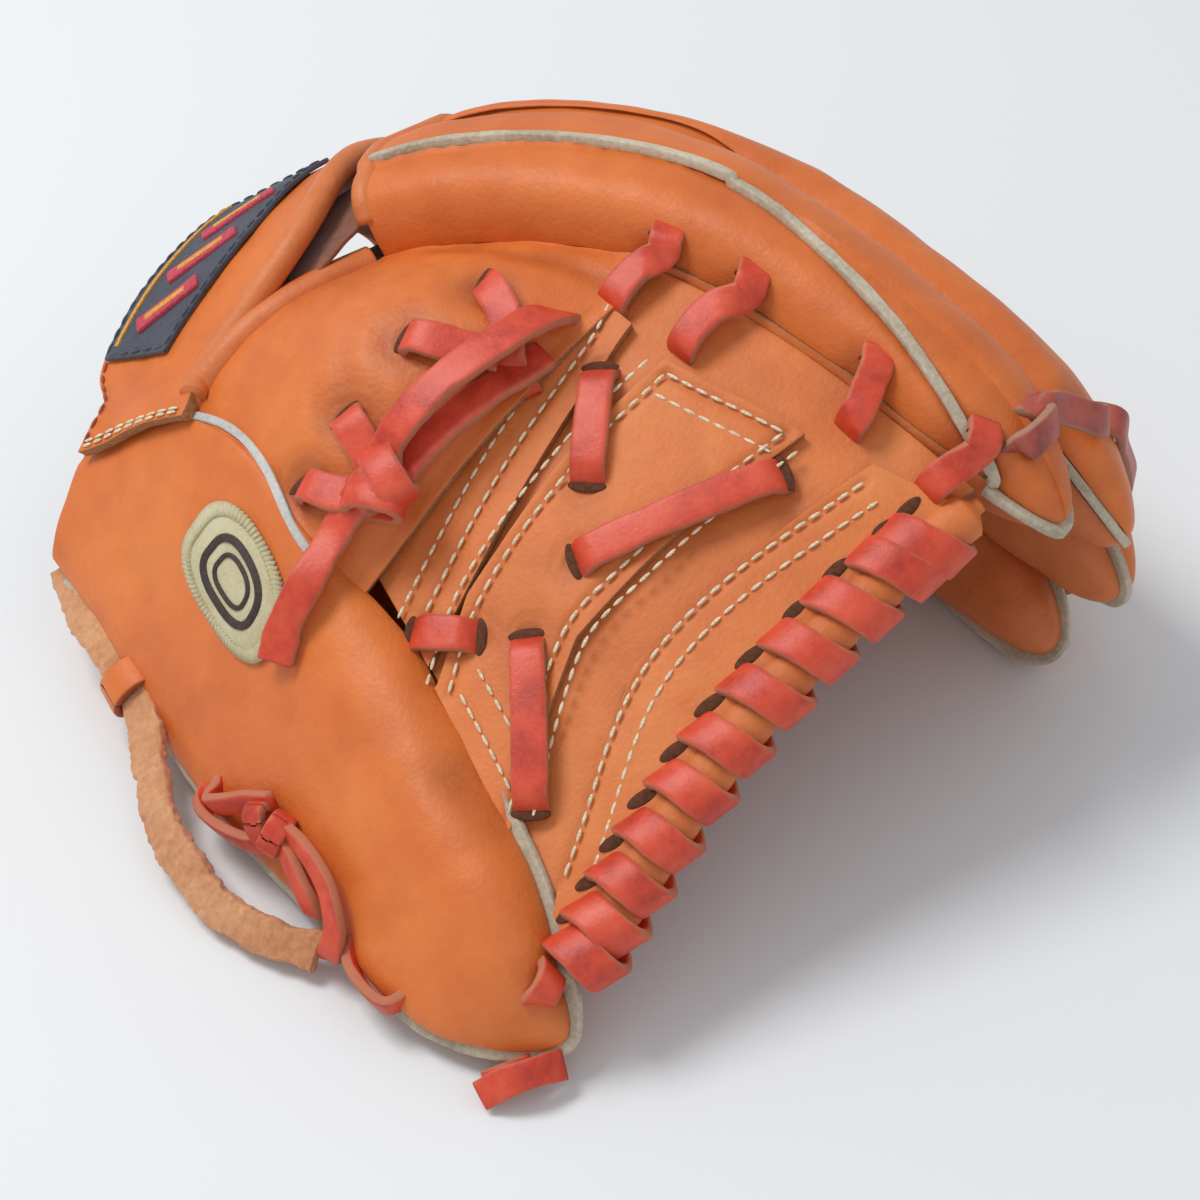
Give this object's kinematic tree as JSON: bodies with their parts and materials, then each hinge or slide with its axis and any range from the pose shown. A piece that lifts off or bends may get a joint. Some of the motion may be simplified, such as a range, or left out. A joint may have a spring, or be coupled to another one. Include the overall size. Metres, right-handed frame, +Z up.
{
  "type": "baseball glove",
  "caption": "Left-hand infielder's baseball glove, leather, with a laced closed web, finger stalls, wrist strap and padded palm, standing web up.",
  "frame": {"origin": "middle of the bounding box, on the ground that the glove stands on", "axes": "+X from the wrist to the fingertips, +Y from the thumb to the little finger, +Z up through the web"},
  "size_m": [0.2186, 0.2266, 0.1172],
  "materials": {
    "palm_leather": "smooth steerhide, oiled, worn satin",
    "back_leather": "smooth steerhide, satin",
    "web_leather": "smooth steerhide, stitched in layers",
    "lace": "dyed rawhide lace, waxed, pale raw edges",
    "welt": "split leather, raw fuzzy edge",
    "suede": "rough suede side out",
    "label": "woven label, hemmed",
    "patch": "embroidered felt patch",
    "felt": "wool felt pad",
    "liner": "thin glove lining leather",
    "stay": "flexible stiffener strip"
  },
  "bodies": {
    "glove": {"index_back": "back_leather", "middle_back": "back_leather", "ring_back": "back_leather", "little_back": "back_leather", "palm_leather": "palm_leather", "index_welt": "welt", "middle_welt": "welt", "ring_welt": "welt", "little_welt": "welt", "crotch_panel": "back_leather", "web_base": "web_leather", "web_crotch_strip": "web_leather", "web_centre_panel": "web_leather", "web_top_strip": "web_leather", "web_edge_roll": "web_leather", "web_edge_lace": "lace", "web_index_lace": "lace", "web_thumb_lace": "lace", "face_lace_upper": "lace", "face_lace_long": "lace", "face_lace_lower": "lace", "face_lace_thumb": "lace", "crotch_lace": "lace", "wrist_strap": "back_leather", "strap_label": "label", "wrist_binding": "back_leather", "opening_binding": "back_leather", "fingertip_lace": "lace", "little_heel_lace": "lace", "palm_pad": "felt", "palm_liner": "liner", "little_stay": "stay"},
    "thumb": {"thumb_back": "back_leather", "thumb_front": "palm_leather", "thumb_welt": "welt", "thumb_patch": "patch", "thumb_tip_lace": "lace", "thumb_heel_lace": "lace", "suede_strap": "suede", "thumb_pad": "felt", "thumb_stay": "stay"}
  },
  "joints": [
    {"name": "thumb_fold", "type": "hinge", "parent": "glove", "child": "thumb", "pos_m": [-0.0027, -0.0394, 0.0494], "axis": [0.9869, -0.1403, 0.0802], "range_deg": [-4, 22], "deforming": ["web_base"]}
  ]
}
